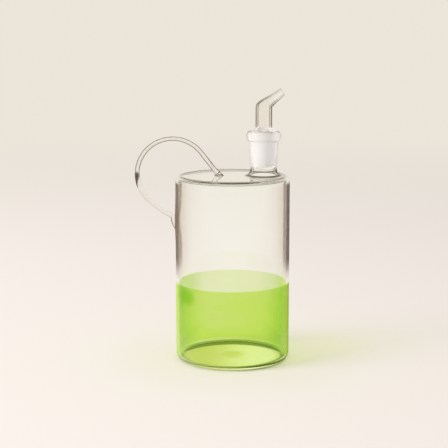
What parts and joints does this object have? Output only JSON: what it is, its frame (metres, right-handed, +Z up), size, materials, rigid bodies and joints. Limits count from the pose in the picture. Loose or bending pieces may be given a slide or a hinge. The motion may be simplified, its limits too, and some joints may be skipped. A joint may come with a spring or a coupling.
{
  "type": "oil cruet",
  "caption": "Two-colour glass oil cruet: straight green and clear body with a flat top, bent rod handle and off-centre ground-joint neck holding a hollow pourer with a bent beak.",
  "frame": {"origin": "centre of the flat underside, on the axis of the body", "axes": "+Z up along the body's axis, +X towards the neck and the beak, -X towards the handle, which lies in the XZ plane"},
  "size_m": [0.1153, 0.085, 0.2034],
  "materials": {
    "green_glass": "clear, tinted green",
    "clear_glass": "clear",
    "ground_glass": "clear, with a frosted ground cone"
  },
  "bodies": {
    "root": {"lower_glass": "green_glass", "upper_glass": "clear_glass", "handle": "clear_glass", "pourer": "ground_glass"}
  },
  "joints": []
}
